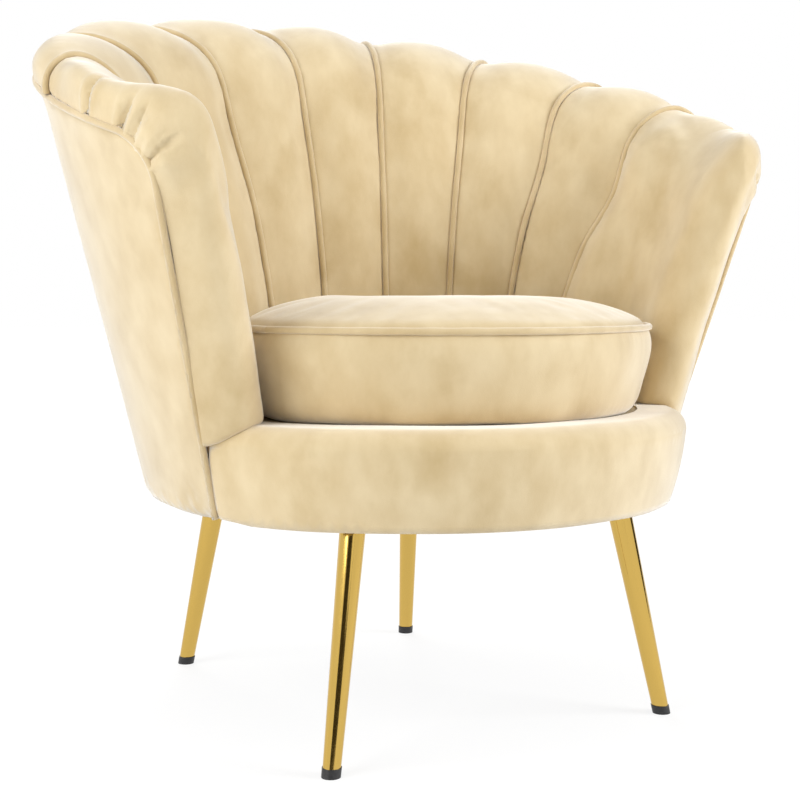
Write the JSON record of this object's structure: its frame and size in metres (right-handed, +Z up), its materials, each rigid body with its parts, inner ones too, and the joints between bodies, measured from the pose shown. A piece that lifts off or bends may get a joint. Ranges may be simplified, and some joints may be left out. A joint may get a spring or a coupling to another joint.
{
  "type": "upholstered tub armchair",
  "caption": "Art deco tub armchair with a scalloped channelled back, piped seams, a loose round-fronted seat cushion, a drum base and splayed tapered gold legs.",
  "frame": {"origin": "on the floor, under the middle of the chair's bounding box", "axes": "+Z up, the chair faces -Y, +X is to the right seen from the front"},
  "size_m": [0.8242, 0.5982, 0.7746],
  "materials": {
    "velvet": "short-pile velvet, cream to champagne",
    "piping": "velvet-covered cord",
    "foam": "polyurethane foam",
    "plywood": "birch plywood, raw",
    "webbing": "elastic webbing",
    "deck_cloth": "woven platform cloth",
    "dust_cloth": "black non-woven cloth",
    "gold_metal": "polished gold finish",
    "zinc_steel": "zinc plated",
    "black_plastic": "moulded"
  },
  "bodies": {
    "chair": {"petal_1": "velvet", "petal_2": "velvet", "petal_3": "velvet", "petal_4": "velvet", "petal_5": "velvet", "petal_6": "velvet", "petal_7": "velvet", "petal_8": "velvet", "petal_9": "velvet", "outer_cover": "velvet", "front_band_cover": "velvet", "channel_welts": "piping", "rim_welt": "piping", "front_band_foam": "foam", "outer_panel": "plywood", "inner_board": "plywood", "rim_rail": "plywood", "back_ribs": "plywood", "arm_post_left": "plywood", "arm_post_right": "plywood", "base_board": "plywood", "deck_ring": "plywood", "front_rail": "plywood", "base_spacers": "plywood", "webbing_across": "webbing", "webbing_along": "webbing", "deck_cloth": "deck_cloth", "dust_cover": "dust_cloth", "leg_front_left": "gold_metal", "leg_front_right": "gold_metal", "leg_rear_left": "gold_metal", "leg_rear_right": "gold_metal", "leg_plates": "zinc_steel", "leg_screws": "zinc_steel", "foot_cap_front_left": "black_plastic", "foot_cap_front_right": "black_plastic", "foot_cap_rear_left": "black_plastic", "foot_cap_rear_right": "black_plastic"},
    "seat_cushion": {"cushion_pad": "velvet", "cushion_welt": "piping"}
  },
  "joints": [
    {"name": "cushion_lift", "type": "slide", "parent": "chair", "child": "seat_cushion", "axis": [0, 0, 1], "range_m": [0, 0.3]}
  ]
}
